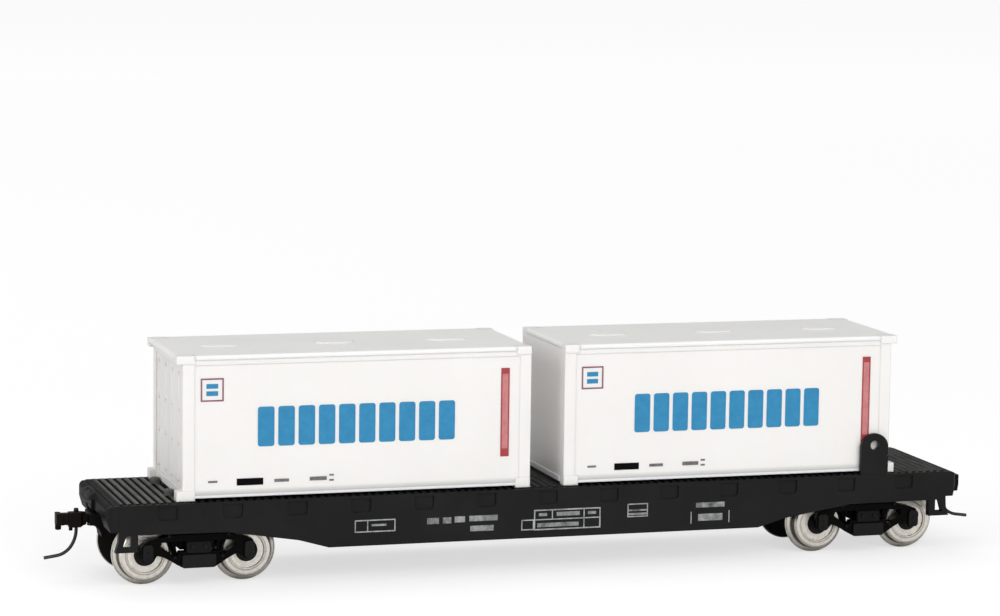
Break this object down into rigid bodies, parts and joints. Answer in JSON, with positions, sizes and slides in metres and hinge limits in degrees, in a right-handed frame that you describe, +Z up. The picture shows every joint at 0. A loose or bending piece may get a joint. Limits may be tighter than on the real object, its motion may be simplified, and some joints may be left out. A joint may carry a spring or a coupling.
{
  "type": "model container flat car",
  "caption": "Small-scale railway flat car with a planked deck, swivelling bogies, swinging knuckle couplers and hollow box containers.",
  "frame": {"origin": "middle of the car, on the plane that the wheel flanges stand on", "axes": "+X along the car, +Y across it away from the near side, +Z up"},
  "size_m": [0.195, 0.0302, 0.0452],
  "materials": {
    "black_plastic": "satin moulded black",
    "nickel_wheels": "turned bright nickel",
    "axle_black": "dull black",
    "coupler_plastic": "satin brown-black",
    "dark_wire": "blackened wire",
    "pin_steel": "plain steel",
    "white_plastic": "semi-gloss off-white",
    "grey_plastic": "matt grey",
    "roof_plastic": "satin light grey",
    "weight_steel": "rolled steel"
  },
  "bodies": {
    "wagon": {"deck": "black_plastic", "side_sill_near": "black_plastic", "side_sill_far": "black_plastic", "underframe": "black_plastic", "cross_bearers": "black_plastic", "weight_plate": "weight_steel", "lug_near": "black_plastic", "lug_far": "black_plastic", "end_beam_left": "black_plastic", "body_bolster_left": "black_plastic", "king_pin_left": "pin_steel", "container_left_shell": "white_plastic", "container_left_roof": "roof_plastic", "container_left_floor": "grey_plastic", "container_left_doors": "white_plastic", "end_beam_right": "black_plastic", "body_bolster_right": "black_plastic", "king_pin_right": "pin_steel", "container_right_shell": "white_plastic", "container_right_roof": "roof_plastic", "container_right_floor": "grey_plastic", "container_right_doors": "white_plastic"},
    "bogie_left": {"bogie_left_bolster": "black_plastic", "bogie_left_sideframe_near": "black_plastic", "bogie_left_sideframe_far": "black_plastic", "bogie_left_tongue": "black_plastic", "bogie_left_lid": "black_plastic"},
    "wheelset_left_inner": {"wheels_left_inner": "nickel_wheels", "axle_left_inner": "axle_black"},
    "wheelset_left_outer": {"wheels_left_outer": "nickel_wheels", "axle_left_outer": "axle_black"},
    "coupler_left": {"coupler_left_head": "coupler_plastic", "coupler_left_knuckle": "coupler_plastic", "coupler_left_trip_pin": "dark_wire"},
    "bogie_right": {"bogie_right_bolster": "black_plastic", "bogie_right_sideframe_near": "black_plastic", "bogie_right_sideframe_far": "black_plastic", "bogie_right_tongue": "black_plastic", "bogie_right_lid": "black_plastic"},
    "wheelset_right_inner": {"wheels_right_inner": "nickel_wheels", "axle_right_inner": "axle_black"},
    "wheelset_right_outer": {"wheels_right_outer": "nickel_wheels", "axle_right_outer": "axle_black"},
    "coupler_right": {"coupler_right_head": "coupler_plastic", "coupler_right_knuckle": "coupler_plastic", "coupler_right_trip_pin": "dark_wire"}
  },
  "joints": [
    {"name": "bogie_left_swivel", "type": "hinge", "parent": "wagon", "child": "bogie_left", "pos_m": [-0.0696, 0, 0.0126], "axis": [0, 0, 1], "range_deg": [-15, 15]},
    {"name": "wheelset_left_inner_spin", "type": "hinge", "parent": "bogie_left", "child": "wheelset_left_inner", "pos_m": [-0.05965, 0, 0.0062], "axis": [0, 1, 0], "continuous": true},
    {"name": "wheelset_left_outer_spin", "type": "hinge", "parent": "bogie_left", "child": "wheelset_left_outer", "pos_m": [-0.07955, 0, 0.0062], "axis": [0, 1, 0], "continuous": true},
    {"name": "coupler_left_swing", "type": "hinge", "parent": "bogie_left", "child": "coupler_left", "pos_m": [-0.0836, 0, 0.01195], "axis": [0, 0, 1], "range_deg": [-10, 10]},
    {"name": "bogie_right_swivel", "type": "hinge", "parent": "wagon", "child": "bogie_right", "pos_m": [0.0696, 0, 0.0126], "axis": [0, 0, 1], "range_deg": [-15, 15]},
    {"name": "wheelset_right_inner_spin", "type": "hinge", "parent": "bogie_right", "child": "wheelset_right_inner", "pos_m": [0.05965, 0, 0.0062], "axis": [0, 1, 0], "continuous": true},
    {"name": "wheelset_right_outer_spin", "type": "hinge", "parent": "bogie_right", "child": "wheelset_right_outer", "pos_m": [0.07955, 0, 0.0062], "axis": [0, 1, 0], "continuous": true},
    {"name": "coupler_right_swing", "type": "hinge", "parent": "bogie_right", "child": "coupler_right", "pos_m": [0.0836, 0, 0.01195], "axis": [0, 0, 1], "range_deg": [-10, 10]}
  ]
}
